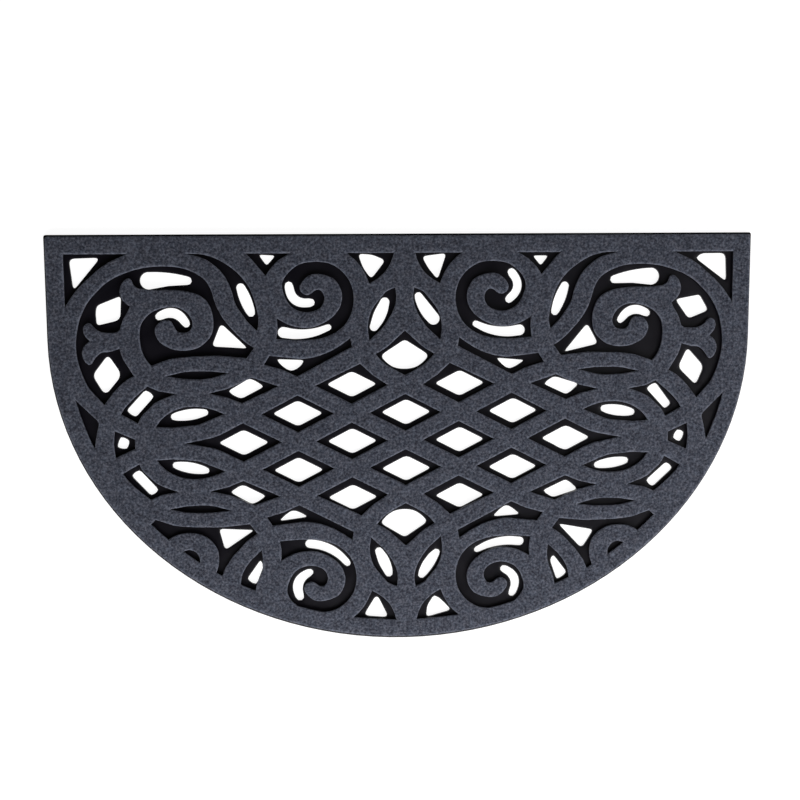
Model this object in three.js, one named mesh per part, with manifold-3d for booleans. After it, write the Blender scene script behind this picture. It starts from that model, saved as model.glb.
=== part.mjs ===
// Half-moon doormat: one moulded rubber slab with raised lands, recessed floors and 70 through-holes.
// The ornament is a plain scroll-and-lattice grille. It mirrors left to right and top to bottom,
// and the curved border crops the lower half.
// Frame: +X along the long straight edge, +Y towards that edge, +Z up, underside on z = 0.

import * as THREE from "three";
import { mergeVertices } from "three/addons/utils/BufferGeometryUtils.js";
import Module from "manifold-3d";

const wasm = await Module();
wasm.setup();

// Sizes in millimetres
const LENGTH = 750;
const DEPTH = 440;
const SIDE_LENGTH = 110;
const BORDER = 20;
const LOWER_BORDER = 21.5;
const FLOOR_TOP = 3;
const LAND_TOP = 7;
const EDGE_STEP = 2;
const LOWER_EDGE_STEP = 3;
const CORNER_RADIUS = 2.5;
const OVERSHOOT = 1;

// How finely curves are drawn, in steps, before the points that a straight line can spare are left out
const STEPS_PER_ROW = 8;
const CORNER_STEPS = 8;
const SLOT_STEPS = 16;
const ARC_STEPS = 64;
const CHORD_ERROR = 0.35;
const MERGE_DISTANCE = 1e-4;

// The lower half of the ornament is a little shorter than the upper half
const LOWER_SQUEEZE = 0.985;

// Lattice of straight bands: spacing of the cells, and half-diagonals of the recess and the hole
const CELL_STEP_X = 57.5;
const CELL_STEP_Y = 30;
const CELL_HALF_X = 38.5;
const CELL_HALF_Y = 20;
const CELL_HOLE_HALF_X = 27;
const CELL_HOLE_HALF_Y = 14;
const CELL_HOLE_ROUND = 4.5;

// The lattice's holes stand on a grid of their own, a little off the cells: its steps and its shift,
// the number of the outermost row, and how many cell steps the middle row reaches to each side
const HOLE_STEP_X = 58;
const HOLE_STEP_Y = 30.7;
const HOLE_SHIFT_X = 1;
const HOLE_SHIFT_Y = -0.8;
const OUTERMOST_ROW = 2;
const MIDDLE_ROW_REACH = 3;

// The quarters of the mat, as the signs of x and y. Every table is written for the top left quarter.
const TL = [1, 1];
const TR = [-1, 1];
const BL = [1, -1];
const BR = [-1, -1];
const TOP = [TL, TR];
const BOTTOM = [BL, BR];
const LEFT = [TL, BL];
const ALL = [TL, TR, BL, BR];

// Recess outlines. Columns: x, y and, at a sharp corner, the length that its rounding takes off each side.
// Rows without the third column are points of a smooth side.

// Edges round the large scroll, in the order that the recess runs
const RING_INNER_EDGE = [
  [-318, 42, 0],
  [-326, 51],
  [-334, 61],
  [-341, 78],
  [-345, 98],
  [-344.5, 113],
  [-340, 133],
  [-330, 152],
  [-310, 171.5],
  [-290, 181],
  [-270, 186],
  [-250, 187],
  [-235, 185.5],
  [-222, 181],
];
const BAND_BESIDE_RING = [
  [-210, 173],
  [-204, 163],
  [-200, 150],
  [-196, 140],
  [-190, 130],
  [-180, 118],
  [-170, 108],
  [-160, 101, 0],
  [-168, 90, 0],
];
const BAND_BELOW_RING = [
  [-185, 92],
  [-200, 93],
  [-230, 92],
  [-250, 89.5],
  [-268, 83, 0],
];
const SCROLL_INNER_EDGE = [
  [-274, 91],
  [-278, 102],
  [-279, 116],
  [-277, 127],
  [-269, 137],
  [-260, 142],
  [-250, 144.5],
  [-240, 144.5],
  [-229, 138.5],
  [-223.5, 127],
  [-227, 119.5],
  [-233, 117.5],
  [-240, 119],
  [-243, 124],
  [-246, 129.5],
];
const SCROLL_LOBE_EDGE = [
  [-252, 131],
  [-259, 128],
  [-263, 120],
  [-259, 109],
  [-250, 102.5],
  [-240, 99.3],
  [-230, 99],
  [-219, 101.5],
];
const SCROLL_OUTER_EDGE = [
  [-210, 108],
  [-204, 116],
  [-202, 130],
  [-205, 144],
  [-211, 153],
  [-222, 159],
  [-235, 161.5],
  [-250, 162.5],
  [-265, 162.5],
  [-280, 164.8],
];
const LEAF_EDGE = [
  [-284, 168.4],
  [-286, 173],
  [-289, 175],
  [-293.5, 172],
  [-297, 166.5],
  [-298, 159.5],
  [-295, 152],
  [-288, 145.5, 0],
];
const UPPER_FORK_EDGE = [
  [-290, 141],
  [-295, 133],
  [-298, 125],
  [-300, 120],
  [-305, 118.4],
  [-315, 118.4],
  [-321, 120],
  [-326, 124],
  [-329, 127.6],
  [-333, 128.4],
  [-336.8, 123.5],
  [-336.5, 117.5],
  [-330.5, 109.7, 0],
];
const LOWER_FORK_EDGE = [
  [-336, 105],
  [-339, 97],
  [-336, 88],
  [-332, 84.7],
  [-329, 86.8],
  [-326, 91.5],
  [-320, 97],
  [-310, 98.5],
  [-300, 101.5, 0],
  [-299, 97],
  [-295, 87],
  [-290, 79],
  [-286, 72.5, 0],
  [-292, 69.5],
  [-300, 63.3],
  [-307, 56.2],
];

// Edges round the small scroll
const COIL_OUTER_EDGE = [
  [-136.5, 110, 0],
  [-135, 121],
  [-135.5, 132, 0],
  [-130, 128.6],
  [-120, 124],
  [-110, 122],
  [-100, 122],
  [-90, 125],
  [-80, 130.5],
  [-73, 137],
  [-67.5, 147],
  [-67, 159],
  [-73.5, 171.5],
  [-83, 176.3],
  [-92, 178.2],
  [-100, 177],
  [-107, 171.5],
];
const COIL_EYE_EDGE = [
  [-111, 164],
  [-109, 159],
  [-104, 156.2],
  [-99, 157.7],
  [-95, 161],
  [-91, 161.8],
  [-87, 159.2],
  [-85, 153.5],
  [-86, 147.5],
  [-90, 142.3],
  [-97, 139],
  [-105, 138],
  [-113.5, 140],
  [-120.5, 144.5],
  [-126, 152.6],
];
const COIL_CASE_EDGE = [
  [-129.5, 166],
  [-127, 174],
  [-120, 182.3],
  [-110, 188.7],
  [-94, 191],
  [-80, 189.3],
  [-68, 182.5],
  [-58, 170],
  [-54, 153],
  [-57, 136],
  [-63.5, 125],
  [-72, 117.5],
  [-82, 112.5],
  [-95, 109.3],
  [-110, 108.3],
  [-125, 108.8],
];

const RECESSES = {
  corner: {
    quarters: TOP,
    rows: [
      [-360, 205, 0], [-276, 205, 0], [-292, 199], [-310, 190.5],
      [-330, 175], [-345, 159.5], [-360, 137, 0],
    ],
  },
  largeScroll: {
    quarters: TOP,
    rows: [
      ...RING_INNER_EDGE,
      ...BAND_BESIDE_RING,
      ...BAND_BELOW_RING,
      ...SCROLL_INNER_EDGE,
      ...SCROLL_LOBE_EDGE,
      ...SCROLL_OUTER_EDGE,
      ...LEAF_EDGE,
      ...UPPER_FORK_EDGE,
      ...LOWER_FORK_EDGE,
    ],
  },
  croppedScroll: {
    quarters: BOTTOM,
    rows: [
      ...BAND_BESIDE_RING.slice(2),
      ...BAND_BELOW_RING,
      [-290, 104, 0],
      [-272, 126, 0],
      ...SCROLL_LOBE_EDGE.slice(3),
      ...SCROLL_OUTER_EDGE.slice(0, 4),
      [-212, 165, 0],
    ],
  },
  croppedEye: {
    quarters: BOTTOM,
    rows: [[-241, 119.5, 0], [-234, 117.3], [-227, 119.5], [-222.5, 126], [-222, 133, 0], [-242, 140, 0]],
  },
  smallScroll: {
    quarters: ALL,
    rows: [...COIL_OUTER_EDGE, ...COIL_EYE_EDGE, ...COIL_CASE_EDGE],
  },
  sickle: {
    quarters: TOP,
    rows: [
      [-231, 200.5, 0], [-212, 199.2], [-200, 195.8], [-190, 190.6], [-180, 183.6], [-170, 173.6],
      [-163.2, 163.2], [-159, 152], [-155.6, 138.3], [-154.6, 128], [-156.5, 118.5, 0], [-160, 121.7],
      [-167.2, 129.4], [-173.5, 138.2], [-179, 148.2], [-182, 159.7], [-186, 170], [-192, 180],
      [-200, 187.8], [-209.5, 194.3],
    ],
  },
  croppedSickle: {
    quarters: BOTTOM,
    rows: [
      [-156, 119.2, 0], [-162.8, 125.3], [-168.8, 131.9],
      [-175, 141.1], [-178.5, 150.2], [-179.5, 157.8, 0],
      [-163.5, 165, 0], [-160.8, 153.2], [-157.3, 144.1], [-155, 134], [-155, 125.8],
    ],
  },
  topWedge: {
    quarters: TOP,
    rows: [
      [-171, 204, 0], [-163.7, 197], [-158.5, 191.2], [-146.5, 176.5, 0],
      [-141.2, 184.2], [-135, 190.8], [-126, 197], [-112, 204, 0],
    ],
  },
  middleWedge: {
    quarters: ALL,
    rows: [
      [-66, 204, 0], [-50, 190], [-42, 178], [-37.5, 167.5, 0],
      [-30, 172], [-20, 181], [-14.5, 190], [-10, 204, 0],
    ],
  },
  middleLens: {
    quarters: ALL,
    rows: [
      [-10, 163.5, 0], [-20, 159], [-28, 150], [-35, 140], [-38.5, 130], [-39.5, 120], [-38, 107.5, 0],
      [-33, 112], [-25, 119.5], [-18, 129], [-12, 140], [-9, 151],
    ],
  },
  underScroll: {
    quarters: ALL,
    rows: [
      [-150, 83, 0], [-144, 92.5, 0], [-133, 91], [-120, 89.5],
      [-107, 89], [-95, 91], [-82, 95.5], [-70, 102],
      [-58, 110.5, 0], [-56.5, 101, 0], [-115, 70, 0], [-131, 77.5],
    ],
  },
  longSlit: {
    quarters: ALL,
    rows: [
      [-253, 72, 0], [-237, 75.7], [-220, 77], [-203, 76.5],
      [-187.5, 74.5, 0], [-205, 69.5], [-220, 68], [-237, 69],
    ],
  },
  besideLattice: {
    quarters: ALL,
    rows: [[-209, 53, 0], [-190, 57.5], [-163, 69.5, 0], [-135, 60, 0], [-174, 42, 0], [-190, 48.5]],
  },
  sideLens: {
    quarters: ALL,
    rows: [
      [-265, 18, 0], [-258.5, 26.5], [-250, 32.7], [-240, 37.3], [-228, 39.2], [-215, 38.5], [-205, 36],
      [-193, 31, 0], [-205, 26], [-220, 20], [-235, 17.9], [-250, 16.9],
    ],
  },
  sideTwist: {
    quarters: ALL,
    rows: [
      [-272.5, 61.5, 0], [-260, 56], [-243, 53, 0], [-253, 49.5],
      [-264.7, 43.9], [-273, 36.6], [-279.5, 29.6],
      [-283.5, 22, 0], [-301, 32, 0], [-297.3, 38], [-290, 46], [-283, 52.6],
    ],
  },
  sideSquare: {
    quarters: TOP,
    rows: [[-308, 14.5, 0], [-287, 5, 0], [-287, -5, 0], [-308, -14.5, 0], [-309.5, 0]],
  },
  sliver: {
    quarters: TOP,
    rows: [[-352, 52.5, 0], [-323.5, 23.5, 3], [-327.3, 8], [-329.5, -6, 0], [-342, -6, 0]],
  },
  latticeEnd: {
    quarters: TOP,
    rows: [
      [-234, 0, 0], [-220, 3], [-205, 6], [-195, 10], [-173.5, 21, 0], [-132.5, 0, 0],
      [-173.5, -21, 0], [-195, -10], [-205, -6], [-220, -3],
    ],
  },
  latticeShoulder: {
    quarters: ALL,
    rows: [[-96, 60, 0], [-57.5, 40, 0], [-19, 60, 0], [-34.5, 70.5], [-48, 83, 0]],
  },
  almond: {
    quarters: LEFT,
    rows: [
      [0, 118, 0], [-10, 108.5], [-20, 100], [-31.5, 93, 0], [-24, 84.5], [-13, 77],
      [0, 70, 0], [13, 77], [24, 84.5], [31.5, 93, 0], [20, 100], [10, 108.5],
    ],
  },
};

// Holes with corners. Columns as for the recesses.
const CORNERED_HOLES = [
  { quarters: [TL], rows: [[-350, 195.2, 6], [-317.5, 196.2, 6.5], [-346.5, 162, 6.5]] },
  { quarters: [TR], rows: [[-348, 197.8, 6], [-322, 197.2], [-314.5, 193, 4], [-349.5, 167, 6]] },
  { quarters: [TL], rows: [[-153.5, 198.5, 3], [-136, 197.5, 3], [-145.3, 187, 3]] },
  { quarters: [TR], rows: [[-154.5, 196.2, 3], [-137.5, 196.2, 3], [-146.3, 185.5, 3]] },
  { quarters: [TL], rows: [[-49, 199, 5], [-34, 197.6], [-20, 192, 5], [-35.3, 172.5, 5], [-43.5, 184.5]] },
  { quarters: [TR], rows: [[-45, 199.2, 5], [-18.8, 196, 5], [-25.5, 184], [-35.5, 171.5, 5]] },
  { quarters: [TL], rows: [[-324, 146, 5], [-297.5, 156.5, 4.5], [-299, 131.5, 6], [-324, 125.5, 4.5]] },
  { quarters: [TR], rows: [[-320.5, 153.5, 3], [-293.5, 148.5, 4], [-308.5, 127.5, 5], [-330.5, 136.5, 4]] },
  { quarters: [TL], rows: [[-313, 95, 6], [-299, 73.5, 8], [-317.5, 51.5, 8], [-330, 73, 6]] },
  { quarters: [TR], rows: [[-308, 96.5, 6], [-298, 75, 6], [-318.5, 55, 6], [-327, 75.5, 6]] },
  { quarters: [TL], rows: [[-194.5, 127, 6], [-166.8, 100, 4], [-204.5, 102.5, 5]] },
  { quarters: [TR], rows: [[-197.5, 124, 6], [-172, 92.8, 4], [-209.7, 101.5, 5]] },
  { quarters: [BL], rows: [[-201.5, 94.2, 4], [-163.5, 96.3, 4], [-195.5, 118, 5]] },
  { quarters: [BR], rows: [[-207.5, 103.5, 5], [-168, 96, 4], [-194.5, 124.5, 6]] },
  { quarters: [TL], rows: [[-137, 88.3, 3.5], [-107, 87, 3.5], [-113, 79.5], [-121.3, 76], [-129.5, 80]] },
  { quarters: [TR], rows: [[-129.5, 84.5, 3.5], [-98.5, 87.3, 3.5], [-106, 79.5], [-113, 76], [-121, 79]] },
  { quarters: [BL], rows: [[-138, 87.3, 6.5], [-122, 74, 7], [-104.5, 83, 6.5]] },
  { quarters: [BR], rows: [[-126.5, 84.8, 6], [-110, 72.5, 6.5], [-94, 86.8, 7]] },
  { quarters: [TL], rows: [[0, 108, 4], [-27, 90.5, 7], [-13, 79], [0, 76.5], [13, 79], [27, 90.5, 7]] },
  { quarters: [BL], rows: [[-1, 107.8, 4], [-28.5, 91, 7], [-14, 79], [-1, 76.5], [11, 79], [25, 90.5, 7]] },
  { quarters: [TL, BL], rows: [[-189, 54.5, 4], [-165, 68.5, 4.5], [-150, 59.3, 4], [-175.5, 46, 5]] },
  { quarters: [TR, BR], rows: [[-189.5, 58, 5], [-161, 67, 5], [-150.5, 58.5, 3], [-176, 46.5, 4]] },
  { quarters: [TL], rows: [[-275, 57.5, 3.5], [-266, 50.5, 3.5], [-286.5, 28, 3.5], [-296, 35, 3.5]] },
  { quarters: [TR], rows: [[-273.5, 59, 3.5], [-263, 52.5, 3.5], [-284.5, 29.3, 3], [-291.5, 35, 3]] },
  { quarters: [BL], rows: [[-272.5, 57, 3.5], [-264, 50.5, 3.5], [-284, 28, 3.5], [-293, 34.5, 3.5]] },
  { quarters: [BR], rows: [[-272.5, 57, 3.5], [-264.5, 49.5, 3.5], [-287, 29, 3.5], [-295, 36, 3.5]] },
  { quarters: [TL], rows: [[-302.5, 8, 3], [-293, 3.5, 3], [-296.5, -6, 3], [-307, -4, 3]] },
  { quarters: [TR], rows: [[-298.5, 7, 3], [-293.5, -2.5, 3], [-302.5, -7.5, 3], [-307, 3.5, 3]] },
  { quarters: [BL], rows: [[-157.5, 129, 3], [-154.7, 136.5, 3], [-163, 157.5, 4], [-173, 150.8, 4]] },
  { quarters: [BR], rows: [[-162.5, 130.5, 3], [-159, 136, 3], [-167, 159.5, 4], [-178.5, 151.5, 4]] },
  { quarters: [BL], rows: [[-32, 170.3, 7], [-47, 194.5, 7], [-19, 197.3, 7]] },
  { quarters: [BR], rows: [[-31, 172.5, 4], [-40.5, 180.3], [-50, 190.5, 5], [-22, 198, 5], [-23.6, 185]] },
];

// Rounded slots. Columns: quarters, x and y of one end's centre, x and y of the other's, the bow of the
// centre line to its left, and the half-widths at one end, in the middle and at the other end.
const SLOTS = [
  [[TL], -268.5, 172, -228, 171.8, 1.4, 9, 6.8, 4.3],
  [[TR], -266.5, 173.5, -226, 170.5, 1.4, 9, 6.8, 4.2],
  [[TL], -172.8, 164, -162.7, 137.8, 0, 4.7, 6, 4.4],
  [[TR], -172.5, 163.8, -162.2, 136.8, 0, 4.6, 6, 4.4],
  [[TL], -122.3, 166, -99.5, 148, -7.8, 4.3, 4.9, 4.2],
  [[TR], -114.8, 178.8, -112.2, 150.2, -7.8, 4.3, 4.6, 4.2],
  [[TL], -259, 134.5, -230.8, 126.8, 7.4, 3.9, 5.2, 4.1],
  [[TR], -262.5, 134.2, -233.8, 127.3, 7, 3.9, 4.9, 3.9],
  [[TL], -32.6, 121.8, -21, 147.8, -0.5, 4.6, 6.6, 5],
  [[TR], -31, 130, -15, 154, -1.1, 6.6, 6.6, 4.2],
  [[BL], -29.3, 122.4, -18.6, 147.5, -0.5, 4.2, 6, 4.2],
  [[BR], -33.2, 125.4, -17.5, 149.8, -0.5, 4.2, 6.2, 4.2],
  [[TL], -129, 116.6, -81.3, 121.6, -4.1, 5.8, 4.7, 3.3],
  [[TR], -123.8, 117, -76.2, 124.2, -4.4, 5.8, 4.8, 3.3],
  [[BL], -104.3, 112.8, -63.7, 135.3, -5.2, 4.8, 4.7, 3.5],
  [[BR], -125, 114.7, -78.3, 123, -4, 4.9, 4.7, 3.4],
  [[BL], -104.8, 144.5, -115.8, 171.5, 7, 4, 5.4, 4.4],
  [[BR], -107.7, 145.2, -117, 172.8, 7.6, 3.9, 4.7, 3.9],
  [[TL], -245.8, 28, -213.5, 32.2, 0, 3.8, 5.9, 3.6],
  [[TR], -247.5, 26.5, -217, 30.8, 0, 3.8, 6, 3.8],
  [[BL], -245.3, 24.3, -213.8, 30.3, 0, 3.8, 5.9, 3.6],
  [[BR], -241.3, 27, -210.5, 31.2, 0, 3.8, 5.7, 3.7],
];

// Lattice cells with straight sides. Columns: quarters, x and y of the centre in cell steps.
const CELLS = [
  [TOP, -1, 0],
  [LEFT, 0, 1],
  [ALL, -2, 1],
];

function cutBack(points, distance) {
  let left = distance;
  for (let i = 1; i < points.length; i += 1) {
    const step = points[i].distanceTo(points[i - 1]);
    if (step > left) {
      return [points[i - 1].clone().lerp(points[i], left / step), ...points.slice(i)];
    }
    left -= step;
  }
  throw new Error("a rounding is longer than its side");
}

// The points of one side, from a sharp corner to the next.
function sideThrough(rows) {
  const points = rows.map(([x, y]) => new THREE.Vector3(x, y, 0));
  if (points.length === 2) {
    return points;
  }
  const curve = new THREE.CatmullRomCurve3(points, false, "centripetal");
  return curve.getPoints(STEPS_PER_ROW * (points.length - 1));
}

// Leaves out the points that lie within the chord error of the line between their neighbours.
function thinned(points) {
  const first = points[0];
  const last = points[points.length - 1];
  const line = new THREE.Line3(first, last);
  const nearest = new THREE.Vector3();
  let worst = 0;
  let at = 0;
  for (let i = 1; i < points.length - 1; i += 1) {
    const off = line.closestPointToPoint(points[i], true, nearest).distanceTo(points[i]);
    if (off > worst) {
      worst = off;
      at = i;
    }
  }
  if (worst < CHORD_ERROR) {
    return [first, last];
  }
  return [...thinned(points.slice(0, at + 1)), ...thinned(points.slice(at)).slice(1)];
}

// A closed outline from its rows, which hold at least one sharp corner.
function outlineOf(rows) {
  const start = rows.findIndex((row) => row.length === 3);
  const loop = [...rows.slice(start), ...rows.slice(0, start + 1)];
  const corners = loop.flatMap((row, i) => (row.length === 3 ? [i] : []));
  const sides = [];
  for (let k = 0; k < corners.length - 1; k += 1) {
    const full = sideThrough(loop.slice(corners[k], corners[k + 1] + 1));
    const headless = cutBack(full, loop[corners[k]][2]);
    sides.push(cutBack(headless.reverse(), loop[corners[k + 1]][2]).reverse());
  }
  const outline = [];
  sides.forEach((side, k) => {
    const next = sides[(k + 1) % sides.length];
    const [x, y] = loop[corners[k + 1]];
    const end = side[side.length - 1];
    const bend = new THREE.QuadraticBezierCurve3(end, new THREE.Vector3(x, y, 0), next[0]);
    outline.push(...thinned(side).slice(0, -1), ...thinned(bend.getPoints(CORNER_STEPS)).slice(0, -1));
  });
  return outline;
}

function slotOutline([x1, y1, x2, y2, bow, half1, halfMiddle, half2]) {
  const one = new THREE.Vector3(x1, y1, 0);
  const two = new THREE.Vector3(x2, y2, 0);
  const across = new THREE.Vector3(y1 - y2, x2 - x1, 0).normalize();
  const pull = one.clone().lerp(two, 0.5).addScaledVector(across, 2 * bow);
  const centreLine = new THREE.QuadraticBezierCurve3(one, pull, two);
  const leftSide = [];
  const rightSide = [];
  for (let i = 0; i <= SLOT_STEPS; i += 1) {
    const t = i / SLOT_STEPS;
    const half = half1 * (1 - t) * (1 - 2 * t) + halfMiddle * 4 * t * (1 - t) + half2 * t * (2 * t - 1);
    const along = centreLine.getTangent(t);
    const side = new THREE.Vector3(-along.y, along.x, 0);
    leftSide.push(centreLine.getPoint(t).addScaledVector(side, half));
    rightSide.push(centreLine.getPoint(t).addScaledVector(side, -half));
  }
  const endTwo = roundEnd(two, leftSide[SLOT_STEPS]);
  const endOne = roundEnd(one, rightSide[0]);
  const right = rightSide.reverse();
  return [leftSide, endTwo, right, endOne].flatMap((run) => thinned(run).slice(0, -1));
}

// Half a circle about a slot end, clockwise from the given point.
function roundEnd(centre, from) {
  const arm = from.clone().sub(centre);
  const points = [];
  for (let i = 0; i <= SLOT_STEPS; i += 1) {
    const turn = new THREE.Matrix4().makeRotationZ((-Math.PI * i) / SLOT_STEPS);
    points.push(arm.clone().applyMatrix4(turn).add(centre));
  }
  return points;
}

function rhombus(halfX, halfY, round) {
  return outlineOf([[-halfX, 0, round], [0, halfY, round], [halfX, 0, round], [0, -halfY, round]]);
}

function placed(outline, x, y) {
  const shift = new THREE.Vector3(x, y, 0);
  return outline.map((point) => point.clone().add(shift));
}

// The holes of the lattice, in rows of 2, 3, 4, 3 and 2.
function latticeHoles() {
  const hole = rhombus(CELL_HOLE_HALF_X, CELL_HOLE_HALF_Y, CELL_HOLE_ROUND);
  const holes = [];
  for (let row = -OUTERMOST_ROW; row <= OUTERMOST_ROW; row += 1) {
    const reach = MIDDLE_ROW_REACH - Math.abs(row);
    for (let column = -reach; column <= reach; column += 2) {
      const x = column * HOLE_STEP_X + HOLE_SHIFT_X;
      const y = row * HOLE_STEP_Y + HOLE_SHIFT_Y;
      holes.push(placed(hole, x, y));
    }
  }
  return holes;
}

// The mat's outline, moved in by one inset at the top and the sides and by another at the bottom:
// a straight top, two straight sides and half an ellipse.
function matShape(inset, lowerInset, radius) {
  const halfLength = LENGTH / 2 - inset;
  const top = DEPTH / 2 - inset;
  const spring = DEPTH / 2 - SIDE_LENGTH;
  const shape = new THREE.Shape();
  shape.moveTo(-halfLength, spring);
  shape.absellipse(0, spring, halfLength, DEPTH - SIDE_LENGTH - lowerInset, Math.PI, 2 * Math.PI, false);
  shape.lineTo(halfLength, top - radius);
  shape.quadraticCurveTo(halfLength, top, halfLength - radius, top);
  shape.lineTo(radius - halfLength, top);
  shape.quadraticCurveTo(-halfLength, top, -halfLength, top - radius);
  return thinned(shape.getPoints(ARC_STEPS).map((point) => new THREE.Vector3(point.x, point.y, 0)));
}

// A solid with the given outline between two heights.
function slab(outline, bottom, top) {
  const shape = new THREE.Shape(outline.map((point) => new THREE.Vector2(point.x, point.y)));
  const geometry = new THREE.ExtrudeGeometry(shape, { depth: top - bottom, bevelEnabled: false, steps: 1 });
  geometry.translate(0, 0, bottom);
  geometry.deleteAttribute("normal");
  geometry.deleteAttribute("uv");
  const merged = mergeVertices(geometry, MERGE_DISTANCE);
  const vertProperties = new Float32Array(merged.attributes.position.array);
  const triVerts = new Uint32Array(merged.index.array);
  return new wasm.Manifold(new wasm.Mesh({ numProp: 3, vertProperties, triVerts }));
}

// An outline of the top left quarter, mirrored into each of the given quarters.
function mirrored(outline, quarters, lowerFactor) {
  return quarters.map(([signX, signY]) => {
    const factorY = signY < 0 ? -lowerFactor : 1;
    return outline.map((point) => new THREE.Vector3(point.x * signX, point.y * factorY, 0));
  });
}

const cell = rhombus(CELL_HALF_X, CELL_HALF_Y, 0);

const recessOutlines = [
  ...Object.values(RECESSES).flatMap(({ quarters, rows }) => {
    return mirrored(outlineOf(rows), quarters, LOWER_SQUEEZE);
  }),
  ...CELLS.flatMap(([quarters, column, row]) => {
    return mirrored(placed(cell, column * CELL_STEP_X, row * CELL_STEP_Y), quarters, LOWER_SQUEEZE);
  }),
];

const holeOutlines = [
  ...CORNERED_HOLES.flatMap(({ quarters, rows }) => mirrored(outlineOf(rows), quarters, 1)),
  ...SLOTS.flatMap(([quarters, ...sizes]) => mirrored(slotOutline(sizes), quarters, 1)),
  ...latticeHoles(),
];

const base = slab(matShape(0, 0, CORNER_RADIUS), 0, FLOOR_TOP);
const land = slab(matShape(EDGE_STEP, LOWER_EDGE_STEP, CORNER_RADIUS), 0, LAND_TOP);
const field = slab(matShape(BORDER, LOWER_BORDER, 0), FLOOR_TOP, LAND_TOP + OVERSHOOT);

let body = base.add(land);
for (const outline of recessOutlines) {
  body = body.subtract(slab(outline, FLOOR_TOP, LAND_TOP + OVERSHOOT).intersect(field));
}
for (const outline of holeOutlines) {
  body = body.subtract(slab(outline, -OVERSHOOT, LAND_TOP + OVERSHOOT));
}

const solid = body.getMesh();
const geometry = new THREE.BufferGeometry();
geometry.setAttribute("position", new THREE.BufferAttribute(new Float32Array(solid.vertProperties), 3));
geometry.setIndex(new THREE.BufferAttribute(new Uint32Array(solid.triVerts), 1));
geometry.computeVertexNormals();

const rubber = new THREE.MeshStandardMaterial({ color: 0x2a2b2e, roughness: 0.85 });
const mat = new THREE.Mesh(geometry, rubber);
mat.name = "mat";

const group = new THREE.Group();
group.name = "doormat";
group.add(mat);

export default group;
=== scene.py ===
# Half-moon rubber doormat: a black moulded slab with charcoal flock on its raised lands.
import math
import random

import bpy
import numpy as np
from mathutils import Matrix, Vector, noise
from mathutils.bvhtree import BVHTree
from mathutils.geometry import delaunay_2d_cdt
from mathutils.kdtree import KDTree


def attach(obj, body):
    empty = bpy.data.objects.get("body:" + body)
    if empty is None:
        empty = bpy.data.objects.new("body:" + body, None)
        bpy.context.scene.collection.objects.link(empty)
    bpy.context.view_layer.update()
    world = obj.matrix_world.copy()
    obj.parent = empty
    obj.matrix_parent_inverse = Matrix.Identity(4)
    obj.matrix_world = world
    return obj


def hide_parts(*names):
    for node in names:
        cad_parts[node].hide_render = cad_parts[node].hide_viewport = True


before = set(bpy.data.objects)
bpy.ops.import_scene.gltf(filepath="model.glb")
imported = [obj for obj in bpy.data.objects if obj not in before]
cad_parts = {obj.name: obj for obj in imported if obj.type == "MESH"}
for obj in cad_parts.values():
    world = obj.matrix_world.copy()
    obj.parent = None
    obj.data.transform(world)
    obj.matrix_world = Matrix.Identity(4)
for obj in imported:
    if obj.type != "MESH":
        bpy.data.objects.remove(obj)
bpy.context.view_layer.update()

random.seed(7)

# One millimetre, in metres
MM = 0.001

# Outlines, in millimetres: a step along them, the longest side that is bent, the turn that makes a corner,
# and how many times longer a side has to be than the one beside it for the outline to follow it alone
CONTOUR_STEP = 2.0
SMOOTH_LENGTH = 14.0
CORNER_TURN = math.radians(38)
LONGER_SHARE = 3.0

# Tolerances, in millimetres: how near counts as the same, the least length that anything is divided by,
# and the decimals that are kept
LEVEL_TOLERANCE = 1e-3
POINT_TOLERANCE = 1e-4
EDGE_TOLERANCE = 0.01
SMALLEST_LENGTH = 1e-6
CORNER_DECIMALS = 4
END_DECIMALS = 2

# Flock, in millimetres: how far its back and its rim lie below its top, its rounded shoulder, how far it
# leans out past the lands, its points, its uneven pile, and the width of the painted highlight along its rim
FLOCK_BOTTOM = 1.0
FLOCK_RIM = 0.75
FLOCK_ROUNDING = 1.1
FLOCK_OVERHANG = 0.02
FLOCK_SHAGGY = 0.16
FLOCK_STEP = 1.75
FLOCK_RINGS = (0.35, 0.95)
FLOCK_CLEARANCE = 0.6
PILE_ROUGH = 0.11
PILE_SWELL = 0.1
PILE_SWELL_LENGTH = 9.0
PILE_FADE = 1.0
PAINTED_HIGHLIGHT_WIDTH = 1.4

# Rubber, in millimetres: how far its lands lie below the flock's top, the rounding of the floors' open
# edges at the holes and round the outside, and the points of the recessed floors
RUBBER_UNDER_FLOCK = 0.9
RUBBER_EDGE_WIDTH = 1.4
RUBBER_EDGE_DROP = 0.5
FLOOR_STEP = 4.0
FLOOR_RINGS = (0.2, 0.6, 1.1)
FLOOR_CLEARANCE = 1.0

# Meshing: the looseness of the point grids as a share of their step, how much of its distance a ring point
# keeps from other borders, the spacing of the spots that distances are measured to, and what turn is sharp
GRID_JITTER = 0.25
RING_CLEARANCE = 0.9
SPOT_SPACING = 0.4
SHARP_TURN = math.radians(50)

# Kinds of ground, which are also the levels of the solid
NOTHING = 0
FLOOR = 1
LAND = 2
UNKNOWN = -1

# The way that rays are cast at the mat
DOWN = (0, 0, -1)

# Colours, as linear red, green, blue and alpha, and how far up its colours the flock goes at its rim, a
# painted highlight where its edge fibres catch the light
FLOCK_DARK = (0.011, 0.013, 0.021, 1)
FLOCK_MIDDLE = (0.0505, 0.057, 0.0795, 1)
FLOCK_PALE = (0.126, 0.140, 0.180, 1)
FLOCK_WARMTH = (1.05, 0.98, 0.94, 1)
FLOCK_RIM_HIGHLIGHT = 0.42
RUBBER_DARK = (0.0036, 0.0030, 0.0056, 1)
RUBBER_PALE = (0.0056, 0.0048, 0.0080, 1)
STUDIO_DIM = (0.27, 0.27, 0.27, 1)
STUDIO_PALE = (0.30, 0.30, 0.30, 1)
WHITE = (1, 1, 1, 1)

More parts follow.
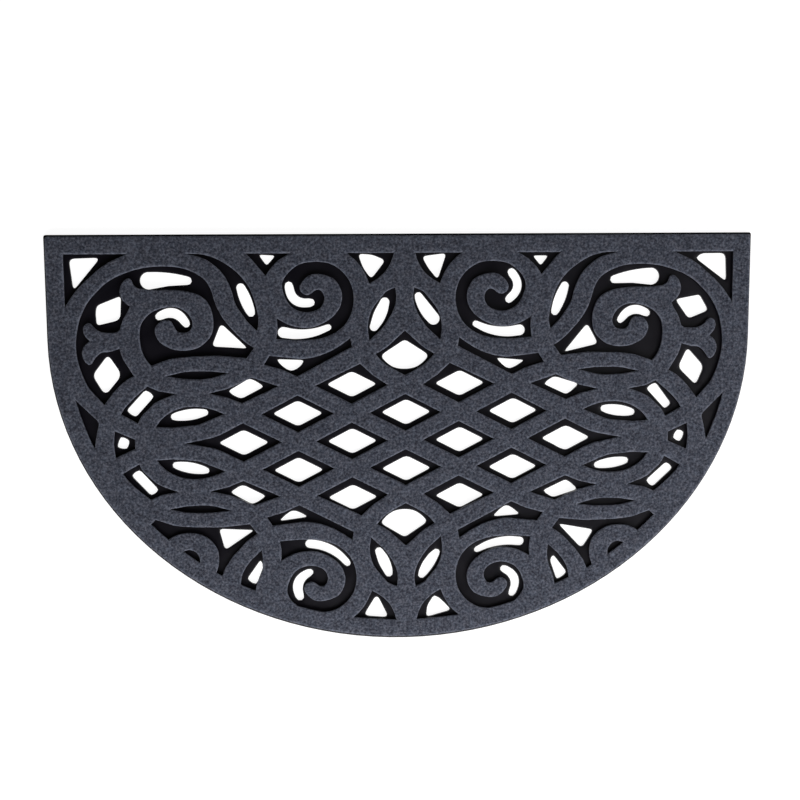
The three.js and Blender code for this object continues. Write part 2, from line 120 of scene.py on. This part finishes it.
# The studio floor, in metres: half its side, and how far it lies under the mat
STUDIO_HALF = 30.0
STUDIO_DROP = 0.0003

# Soft boxes, in metres and watts. Columns: name, place, target, width, depth, power.
# The first two light the mat from the front and the right. The third is a dim card overhead, which the
# floors on the right mirror.
SOFT_BOXES = (
    ("front_box", (-0.1, -1.2, 0.72), (0, 0.1, 0), 2.4, 0.6, 28),
    ("right_box", (1.4, -0.5, 0.85), (0.1, 0, 0), 1.6, 1.0, 17),
    ("right_card", (0.95, -0.25, 1.5), (0.25, -0.1, 0), 1.5, 1.7, 1.3),
)

# The room's light: the upward shares of a ray's direction between which it fades, and its strengths there
ROOM_HEIGHTS = (0.12, 0.2)
ROOM_STRENGTHS = (1.0, 0.03)

# The photograph's camera, in metres and degrees, with its lens and sensor in millimetres
CAMERA_PLACE = (-0.0870, 0.1853, 1.2336)
CAMERA_TURN = (-6.56, -3.83, -0.33)
CAMERA_LENS = 52.02
CAMERA_SENSOR = 36.0
CAMERA_REACH = 20.0


def cad_surface(node):
    """The CAD node's corners in millimetres, its triangles, and the heights of its level faces."""
    mesh = node.data
    mesh.calc_loop_triangles()
    corners = np.empty(len(mesh.vertices) * 3)
    mesh.vertices.foreach_get("co", corners)
    corners = np.round(corners.reshape(-1, 3) / MM, CORNER_DECIMALS)
    triangles = np.empty(len(mesh.loop_triangles) * 3, np.int64)
    mesh.loop_triangles.foreach_get("vertices", triangles)
    corners, merged = np.unique(corners, axis=0, return_inverse=True)
    triangles = merged.ravel()[triangles].reshape(-1, 3)
    return corners, triangles, np.unique(corners[:, 2])


def loops_at(corners, triangles, height):
    """The closed outlines of the faces that lie at a height."""
    off = np.abs(corners[triangles][:, :, 2] - height)
    level = triangles[np.all(off < LEVEL_TOLERANCE, axis=1)]
    sides = np.concatenate([level[:, [0, 1]], level[:, [1, 2]], level[:, [2, 0]]])
    known = {(a, b) for a, b in sides.tolist()}
    following = {a: b for a, b in known if (b, a) not in known}
    loops = []
    while following:
        start, at = following.popitem()
        loop = [start]
        while at != start:
            loop.append(at)
            at = following.pop(at)
        loops.append([Vector(corners[i, :2]) for i in loop])
    return loops


def run_at(before, here, after):
    """The way an outline runs at a point, or None at a corner."""
    come = here - before
    go = after - here
    if come.angle(go, 0.0) > CORNER_TURN:
        return None
    if come.length > LONGER_SHARE * go.length:
        return come.normalized()
    if go.length > LONGER_SHARE * come.length:
        return go.normalized()
    return (come.normalized() * go.length + go.normalized() * come.length).normalized()


def stepped(loop):
    """The loop's sides as rows of short steps, each side bent to run smoothly into the next."""
    count = len(loop)
    runs = [run_at(loop[i - 1], loop[i], loop[(i + 1) % count]) for i in range(count)]
    for i, start in enumerate(loop):
        end = loop[(i + 1) % count]
        side = end - start
        steps = max(1, round(side.length / CONTOUR_STEP))
        straight = side.length > SMOOTH_LENGTH
        leave = side if straight or runs[i] is None else runs[i] * side.length
        arrive = side if straight or runs[(i + 1) % count] is None else runs[(i + 1) % count] * side.length
        row = []
        for k in range(steps + 1):
            t = k / steps
            row.append(
                start * (2 * t**3 - 3 * t**2 + 1)
                + leave * (t**3 - 2 * t**2 + t)
                + end * (3 * t**2 - 2 * t**3)
                + arrive * (t**3 - t**2)
            )
        yield row


def triangulated(points, edges):
    """Points, triangles, the edges as they came out, and the number that each point came out with."""
    flat = [Vector(p) for p in points]
    out_points, out_edges, out_faces, sources, edge_sources, _ = delaunay_2d_cdt(
        flat, edges, [], 0, POINT_TOLERANCE, True
    )
    number = np.zeros(len(flat), np.int64)
    for out, ins in enumerate(sources):
        number[list(ins)] = out
    walls = [edge for edge, ins in zip(out_edges, edge_sources) if ins]
    return np.array([tuple(p) for p in out_points]), np.array(out_faces), walls, number


def kinds_of(points, triangles, walls, kind_under):
    """The kind of ground in each triangle.

    It changes at walls only, and what is open to the outside is nothing.
    """
    walls = {frozenset(wall) for wall in walls}
    sides_of = [[frozenset(side) for side in ((a, b), (b, c), (c, a))] for a, b, c in triangles.tolist()]
    beside = {}
    for i, sides in enumerate(sides_of):
        for side in sides:
            beside.setdefault(side, []).append(i)
    kinds = np.full(len(triangles), UNKNOWN)

    def fill(start, kind):
        waiting = [start]
        while waiting:
            i = waiting.pop()
            if kinds[i] == UNKNOWN:
                kinds[i] = kind
                waiting.extend(j for side in sides_of[i] if side not in walls for j in beside[side])

    for side, found in beside.items():
        if len(found) == 1 and side not in walls:
            fill(found[0], NOTHING)
    first, second, third = (points[triangles[:, k]] for k in range(3))
    along = second - first
    across = third - first
    areas = np.abs(along[:, 0] * across[:, 1] - along[:, 1] * across[:, 0])
    for i in np.argsort(-areas).tolist():
        if kinds[i] == UNKNOWN:
            fill(i, kind_under(*points[triangles[i]].mean(axis=0)))
    return kinds


def borders_of(triangles, kinds):
    """The edges (a, b) with a higher kind on their left than on their right, as rows a, b, left, right."""
    left_of = {}
    for (a, b, c), kind in zip(triangles.tolist(), kinds.tolist()):
        left_of[a, b] = kind
        left_of[b, c] = kind
        left_of[c, a] = kind
    rows = [(a, b, kind, left_of.get((b, a), NOTHING)) for (a, b), kind in left_of.items()]
    return [row for row in rows if row[2] > row[3]]


def nearest_to(points, borders):
    """A function that gives the distance to the nearest of the borders."""
    spots = []
    for a, b, _, _ in borders:
        steps = max(1, math.ceil(math.dist(points[a], points[b]) / SPOT_SPACING))
        spots.extend(points[a] + (points[b] - points[a]) * k / steps for k in range(steps))
    tree = KDTree(len(spots))
    for i, (x, y) in enumerate(spots):
        tree.insert((x, y, 0), i)
    tree.balance()
    return lambda x, y: tree.find((x, y, 0))[2]


class Plan:
    """The mat seen from above, as a coarse and a fine triangulation with the kind of ground in each."""

    def __init__(self, node):
        corners, triangles, heights = cad_surface(node)
        self.underside, self.floor_top, self.land_top = heights
        self.cad = BVHTree.FromPolygons(corners.tolist(), triangles.tolist())
        points = []
        edges = []
        done = set()
        for height in (self.underside, self.land_top):
            for loop in loops_at(corners, triangles, height):
                for row in stepped(loop):
                    ends = frozenset(tuple(np.round(row[end], END_DECIMALS)) for end in (0, -1))
                    if ends in done:
                        continue
                    done.add(ends)
                    edges.extend((len(points) + k, len(points) + k + 1) for k in range(len(row) - 1))
                    points.extend(row)
        self.points, self.triangles, walls, _ = triangulated(points, edges)
        self.kinds = kinds_of(self.points, self.triangles, walls, self.kind_in_cad)
        self.borders = borders_of(self.triangles, self.kinds)
        self.cover = BVHTree.FromPolygons([(x, y, 0) for x, y in self.points], self.triangles.tolist())
        self.land_borders = [row for row in self.borders if row[2] == LAND]
        open_borders = [row for row in self.borders if row[3] == NOTHING]
        self.floor_borders = [row for row in self.borders if FLOOR in row[2:]]
        self.from_land = nearest_to(self.points, self.land_borders)
        self.from_open = nearest_to(self.points, open_borders)
        self.from_any = nearest_to(self.points, self.borders)
        self.refine()

    def kind_in_cad(self, x, y):
        """The kind of ground that the CAD solid has under a point."""
        spot = self.cad.ray_cast((x, y, 2 * self.land_top), DOWN)[0]
        if spot is None:
            return NOTHING
        return LAND if spot.z > (self.floor_top + self.land_top) / 2 else FLOOR

    def kind_at(self, x, y):
        """The kind of ground that the coarse triangulation has under a point."""
        face = self.cover.ray_cast((x, y, 1), DOWN)[2]
        return NOTHING if face is None else self.kinds[face]

    def ring_points(self, borders, kind, distance, at_middles):
        """Points beside the borders, on the side of the given kind."""
        ring = []
        for a, b, left, _ in borders:
            start = self.points[a]
            length = max(math.dist(self.points[b], start), SMALLEST_LENGTH)
            along = (self.points[b] - start) / length
            inward = np.array((-along[1], along[0])) * (1 if left == kind else -1)
            foot = (start + self.points[b]) / 2 if at_middles else start
            spot = foot + inward * distance
            if self.from_any(*spot) > RING_CLEARANCE * distance and self.kind_at(*spot) == kind:
                ring.append(tuple(spot))
        return ring

    def field_points(self, kind, step, clear):
        """A loose grid of points over the ground of one kind."""
        low = self.points.min(axis=0)
        high = self.points.max(axis=0)
        rise = step * math.sqrt(3) / 2
        field = []
        for row in range(int((high[1] - low[1]) / rise) + 1):
            for column in range(int((high[0] - low[0]) / step) + 1):
                x = low[0] + (column + 0.5 * (row % 2) + random.uniform(-GRID_JITTER, GRID_JITTER)) * step
                y = low[1] + row * rise + random.uniform(-GRID_JITTER, GRID_JITTER) * step
                if self.kind_at(x, y) == kind and self.from_any(x, y) > clear:
                    field.append((x, y))
        return field

    def refine(self):
        """Makes the fine triangulation, which has the coarse one's borders and many more points."""
        added = self.field_points(LAND, FLOCK_STEP, FLOCK_RINGS[-1] + FLOCK_CLEARANCE)
        added += self.field_points(FLOOR, FLOOR_STEP, FLOOR_RINGS[-1] + FLOOR_CLEARANCE)
        for distance, at_middles in zip(FLOCK_RINGS, (True, False)):
            added += self.ring_points(self.land_borders, LAND, distance, at_middles)
        for distance, at_middles in zip(FLOOR_RINGS, (True, False, True)):
            added += self.ring_points(self.floor_borders, FLOOR, distance, at_middles)
        edges = [(a, b) for a, b, _, _ in self.borders]
        points = [tuple(p) for p in self.points] + added
        self.fine_points, self.fine_triangles, walls, number = triangulated(points, edges)
        self.fine_kinds = kinds_of(self.fine_points, self.fine_triangles, walls, self.kind_at)
        self.coarse_number = {int(number[i]): i for i in range(len(self.points))}


class Builder:
    """Collects faces whose corners are named by a key, and makes an object of them."""

    def __init__(self):
        self.number = {}
        self.places = []
        self.faces = []

    def corner(self, key, place):
        """The number of a corner, which is placed the first time that its key comes up."""
        if key not in self.number:
            self.number[key] = len(self.places)
            self.places.append(place(key))
        return self.number[key]

    def add(self, keys, place):
        """A face with the given corners."""
        self.faces.append([self.corner(key, place) for key in keys])

    def made(self, name, material):
        """The object, in the scene."""
        mesh = bpy.data.meshes.new(name)
        mesh.from_pydata([(x * MM, y * MM, z * MM) for x, y, z in self.places], [], self.faces)
        mesh.validate()
        mesh.shade_smooth()
        mesh.set_sharp_from_angle(angle=SHARP_TURN)
        mesh.materials.append(material)
        piece = bpy.data.objects.new(name, mesh)
        bpy.context.scene.collection.objects.link(piece)
        return piece


def rounded(distance, radius):
    """The share of its full height that a rounded edge has at a distance from its foot."""
    t = min(distance / radius, 1.0)
    return math.sqrt(1 - (1 - t) ** 2)


def rubber_body(plan, material):
    """The whole slab, closed: underside, walls, recessed floors and the land tops that the flock covers."""
    heights = {NOTHING: plan.underside, FLOOR: plan.floor_top, LAND: plan.land_top - RUBBER_UNDER_FLOCK}

    def coarse_place(key):
        point, level = key
        x, y = plan.points[point]
        if level == FLOOR and plan.from_open(x, y) < EDGE_TOLERANCE:
            return x, y, plan.floor_top - RUBBER_EDGE_DROP
        return x, y, heights[level]

    def floor_place(key):
        point, level = key
        if level == FLOOR:
            return coarse_place(key)
        x, y = plan.fine_points[point]
        drop = RUBBER_EDGE_DROP * (1 - rounded(plan.from_open(x, y), RUBBER_EDGE_WIDTH))
        return x, y, plan.floor_top - drop

    body = Builder()
    for triangle, kind in zip(plan.triangles.tolist(), plan.kinds.tolist()):
        if kind != NOTHING:
            body.add([(point, NOTHING) for point in reversed(triangle)], coarse_place)
        if kind == LAND:
            body.add([(point, LAND) for point in triangle], coarse_place)
    for a, b, left, right in plan.borders:
        for level in range(right, left):
            body.add([(b, level), (a, level), (a, level + 1), (b, level + 1)], coarse_place)
    for triangle, kind in zip(plan.fine_triangles.tolist(), plan.fine_kinds.tolist()):
        if kind == FLOOR:
            keys = [
                (plan.coarse_number[point], FLOOR) if point in plan.coarse_number else (point, "fine")
                for point in triangle
            ]
            body.add(keys, floor_place)
    return body.made("rubber_body", material)


def outward_shifts(plan):
    """For each point of the lands' outline, how far the uneven pile leans out over it."""
    normals = {}
    for a, b, _, _ in plan.land_borders:
        along = plan.points[b] - plan.points[a]
        outward = np.array((along[1], -along[0])) / max(math.hypot(*along), SMALLEST_LENGTH)
        for point in (a, b):
            normals[point] = normals.get(point, np.zeros(2)) + outward
    shifts = {}
    for point, normal in normals.items():
        reach = FLOCK_OVERHANG + FLOCK_SHAGGY * random.random()
        shifts[point] = normal / max(math.hypot(*normal), SMALLEST_LENGTH) * reach
    return shifts


def flock_cover(plan, material):
    """The pile on the lands, closed: uneven top, rounded shoulder, rim, and a flat back in the rubber."""
    shifts = outward_shifts(plan)

    def edge_place(key):
        point, level = key
        x, y = plan.points[point] + shifts.get(point, 0)
        return x, y, plan.land_top - (FLOCK_RIM if level == "rim" else FLOCK_BOTTOM)

    def top_place(key):
        point, level = key
        if level == "rim":
            return edge_place(key)
        x, y = plan.fine_points[point]
        distance = plan.from_land(x, y)
        share = rounded(distance, FLOCK_ROUNDING)
        swell = noise.noise(Vector((x, y, 0)) / PILE_SWELL_LENGTH) * PILE_SWELL
        pile = random.uniform(-PILE_ROUGH, PILE_ROUGH) + swell
        return x, y, plan.land_top - FLOCK_RIM * (1 - share) + pile * min(distance / PILE_FADE, 1.0)

    cover = Builder()
    for triangle, kind in zip(plan.triangles.tolist(), plan.kinds.tolist()):
        if kind == LAND:
            cover.add([(point, "back") for point in reversed(triangle)], edge_place)
    for a, b, _, _ in plan.land_borders:
        cover.add([(b, "back"), (a, "back"), (a, "rim"), (b, "rim")], edge_place)
    for triangle, kind in zip(plan.fine_triangles.tolist(), plan.fine_kinds.tolist()):
        if kind == LAND:
            keys = [
                (plan.coarse_number[point], "rim") if point in plan.coarse_number else (point, "top")
                for point in triangle
            ]
            cover.add(keys, top_place)
    piece = cover.made("flock_cover", material)
    # Mask of the painted highlight: one at the lands' edge, fading to nothing within its width
    rim_highlights = [max(0.0, 1 - plan.from_land(x, y) / PAINTED_HIGHLIGHT_WIDTH) for x, y, _ in cover.places]
    attribute = piece.data.attributes.new("rim", "FLOAT", "POINT")
    attribute.data.foreach_set("value", np.array(rim_highlights, np.float32))
    return piece


class Nodes:
    """A short way to write the nodes of a material or of the world."""

    def __init__(self, owner, shader="Principled BSDF"):
        owner.use_nodes = True
        self.owner = owner
        self.tree = owner.node_tree
        self.shader = self.tree.nodes[shader]

    def add(self, kind, **values):
        """A node, with values for its sockets and settings."""
        node = self.tree.nodes.new(kind)
        for key, value in values.items():
            if key in node.inputs:
                node.inputs[key].default_value = value
            else:
                setattr(node, key, value)
        return node

    def link(self, start, end):
        """A wire from an output to a socket."""
        self.tree.links.new(start, end)

    def adjust(self, values):
        """Fixed values for the shader's own sockets."""
        for name, value in values.items():
            self.shader.inputs[name].default_value = value

    def drive(self, sources):
        """Outputs that the shader's sockets follow."""
        for name, source in sources.items():
            self.link(source, self.shader.inputs[name])

    def object_place(self):
        """Where a point of the surface lies on the object, in metres."""
        return self.add("ShaderNodeTexCoord").outputs["Object"]

    def noise(self, place, scale, detail, roughness=0.5):
        """Noise with the given number of clumps a metre."""
        node = self.add("ShaderNodeTexNoise", Scale=scale, Detail=detail, Roughness=roughness)
        self.link(place, node.inputs["Vector"])
        return node.outputs["Fac"]

    def spread(self, value, within, over=(0, 1)):
        """A value from one range, stretched over another."""
        node = self.add("ShaderNodeMapRange")
        for i, number in enumerate((*within, *over), start=1):
            node.inputs[i].default_value = number
        self.link(value, node.inputs[0])
        return node.outputs[0]

    def math(self, operation, one, two):
        """The result of a sum or product of outputs and numbers."""
        node = self.add("ShaderNodeMath", operation=operation)
        for socket, value in zip(node.inputs, (one, two)):
            if isinstance(value, (int, float)):
                socket.default_value = value
            else:
                self.link(value, socket)
        return node.outputs[0]

    def ramp(self, value, low, high, middle=None):
        """A colour that runs from one to another, by way of a middle one if it is given."""
        node = self.add("ShaderNodeValToRGB")
        node.color_ramp.elements[0].color = low
        node.color_ramp.elements[1].color = high
        if middle is not None:
            node.color_ramp.elements.new(0.5).color = middle
        self.link(value, node.inputs["Fac"])
        return node.outputs["Color"]

    def tinted(self, colour, tint, share):
        """A colour multiplied by a tint, as far as the share says."""
        node = self.add("ShaderNodeMix", data_type="RGBA", blend_type="MULTIPLY")
        colours = [socket for socket in node.inputs if socket.type == "RGBA"]
        self.link(share, node.inputs[0])
        self.link(colour, colours[0])
        colours[1].default_value = tint
        return next(socket for socket in node.outputs if socket.type == "RGBA")

    def bump(self, height, strength, distance, under=None):
        """A bumped normal, laid over another one if it is given."""
        node = self.add("ShaderNodeBump", Strength=strength, Distance=distance)
        self.link(height, node.inputs["Height"])
        if under is not None:
            self.link(under, node.inputs["Normal"])
        return node.outputs["Normal"]


def flock_material():
    """Heathered charcoal fibres: clumps of one or two millimetres, dark and light, with a painted highlight
    that makes them paler at the shoulders.
    """
    nodes = Nodes(bpy.data.materials.new("flock_charcoal"))
    place = nodes.object_place()
    clumps = nodes.noise(place, scale=400, detail=3, roughness=0.7)
    patches = nodes.noise(place, scale=110, detail=2)
    hues = nodes.noise(place, scale=160, detail=2)
    fibres = nodes.noise(place, scale=2600, detail=2)
    # The mask of the painted highlight along the shoulders
    rim = nodes.add("ShaderNodeAttribute", attribute_name="rim").outputs["Fac"]

    clump_tone = nodes.spread(clumps, within=(0.33, 0.67), over=(0.05, 0.95))
    patch_tone = nodes.spread(patches, within=(0.3, 0.7), over=(-0.1, 0.1))
    fibre_tone = nodes.spread(fibres, within=(0.3, 0.7), over=(-0.12, 0.12))
    tone = nodes.math("ADD", clump_tone, patch_tone)
    tone = nodes.math("ADD", tone, fibre_tone)
    # Painted highlight: the rim mask lifts the tone towards the pale colour at the shoulders
    tone = nodes.math("ADD", tone, nodes.math("MULTIPLY", rim, FLOCK_RIM_HIGHLIGHT))

    grey = nodes.ramp(tone, FLOCK_DARK, FLOCK_PALE, middle=FLOCK_MIDDLE)
    warmed = nodes.tinted(grey, FLOCK_WARMTH, nodes.spread(hues, within=(0.35, 0.7)))
    clump_bump = nodes.bump(clumps, strength=0.6, distance=0.0006)
    fibre_bump = nodes.bump(fibres, strength=0.5, distance=0.0004, under=clump_bump)
    nodes.drive({"Base Color": warmed, "Normal": fibre_bump})
    nodes.adjust({"Roughness": 0.95, "Specular IOR Level": 0.2, "Sheen Weight": 0.12, "Sheen Roughness": 0.5})
    return nodes.owner


def rubber_material():
    """Smooth black moulded rubber with a faint grain and uneven gloss."""
    nodes = Nodes(bpy.data.materials.new("rubber_black"))
    place = nodes.object_place()
    grain = nodes.noise(place, scale=900, detail=3)
    waves = nodes.noise(place, scale=45, detail=2)
    colour = nodes.ramp(nodes.spread(waves, within=(0.3, 0.7)), RUBBER_DARK, RUBBER_PALE)
    gloss = nodes.spread(nodes.math("ADD", grain, waves), within=(0.7, 1.3), over=(0.32, 0.42))
    wave_bump = nodes.bump(waves, strength=0.15, distance=0.002)
    grain_bump = nodes.bump(grain, strength=0.12, distance=0.0002, under=wave_bump)
    nodes.drive({"Base Color": colour, "Roughness": gloss, "Normal": grain_bump})
    nodes.adjust({"Specular IOR Level": 0.25})
    return nodes.owner


def studio_material():
    """A white floor that glows a little, so that the mat casts hardly a shadow on it."""
    nodes = Nodes(bpy.data.materials.new("studio_white"))
    clouds = nodes.noise(nodes.object_place(), scale=3, detail=2)
    colour = nodes.ramp(nodes.spread(clouds, within=(0.3, 0.7)), STUDIO_DIM, STUDIO_PALE)
    nodes.drive({"Base Color": colour})
    nodes.adjust({"Roughness": 0.9, "Emission Color": WHITE, "Emission Strength": 0.92})
    return nodes.owner


def studio_floor():
    """The pale floor that the mat lies on."""
    mesh = bpy.data.meshes.new("studio_floor")
    half = STUDIO_HALF
    corners = [(-half, -half, 0), (half, -half, 0), (half, half, 0), (-half, half, 0)]
    mesh.from_pydata(corners, [], [(0, 1, 2, 3)])
    mesh.materials.append(studio_material())
    floor = bpy.data.objects.new("studio_floor", mesh)
    floor.location.z = -STUDIO_DROP
    bpy.context.scene.collection.objects.link(floor)


def soft_box(name, place, target, width, depth, power):
    """A rectangle of light at a place, facing a target."""
    light = bpy.data.lights.new(name, "AREA")
    light.shape = "RECTANGLE"
    light.size = width
    light.size_y = depth
    light.energy = power
    lamp = bpy.data.objects.new(name, light)
    lamp.location = place
    lamp.rotation_euler = (Vector(target) - Vector(place)).to_track_quat("-Z", "Y").to_euler()
    bpy.context.scene.collection.objects.link(lamp)


def studio_light():
    """The soft boxes, and plain tones."""
    for row in SOFT_BOXES:
        soft_box(*row)
    bpy.context.scene.view_settings.view_transform = "Standard"


def room():
    """Pale along the horizon, where the studio floor runs on, and nearly dark overhead."""
    world = bpy.data.worlds.new("studio_world")
    nodes = Nodes(world, "Background")
    ray = nodes.add("ShaderNodeTexCoord").outputs["Generated"]
    parts = nodes.add("ShaderNodeSeparateXYZ")
    nodes.link(ray, parts.inputs["Vector"])
    nodes.drive({"Strength": nodes.spread(parts.outputs["Z"], within=ROOM_HEIGHTS, over=ROOM_STRENGTHS)})
    nodes.adjust({"Color": WHITE})
    bpy.context.scene.world = world


def photo_camera():
    """The camera at the photograph's viewing angle."""
    camera = bpy.data.cameras.new("photo_camera")
    camera.lens = CAMERA_LENS
    camera.sensor_width = CAMERA_SENSOR
    camera.clip_end = CAMERA_REACH
    holder = bpy.data.objects.new("photo_camera", camera)
    holder.location = CAMERA_PLACE
    holder.rotation_euler = [math.radians(turn) for turn in CAMERA_TURN]
    bpy.context.scene.collection.objects.link(holder)
    bpy.context.scene.camera = holder


plan = Plan(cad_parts["mat"])
body = rubber_body(plan, rubber_material())
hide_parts("mat")
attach(body, "root")

flock = flock_cover(plan, flock_material())
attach(flock, "root")

studio_floor()
studio_light()
room()
photo_camera()
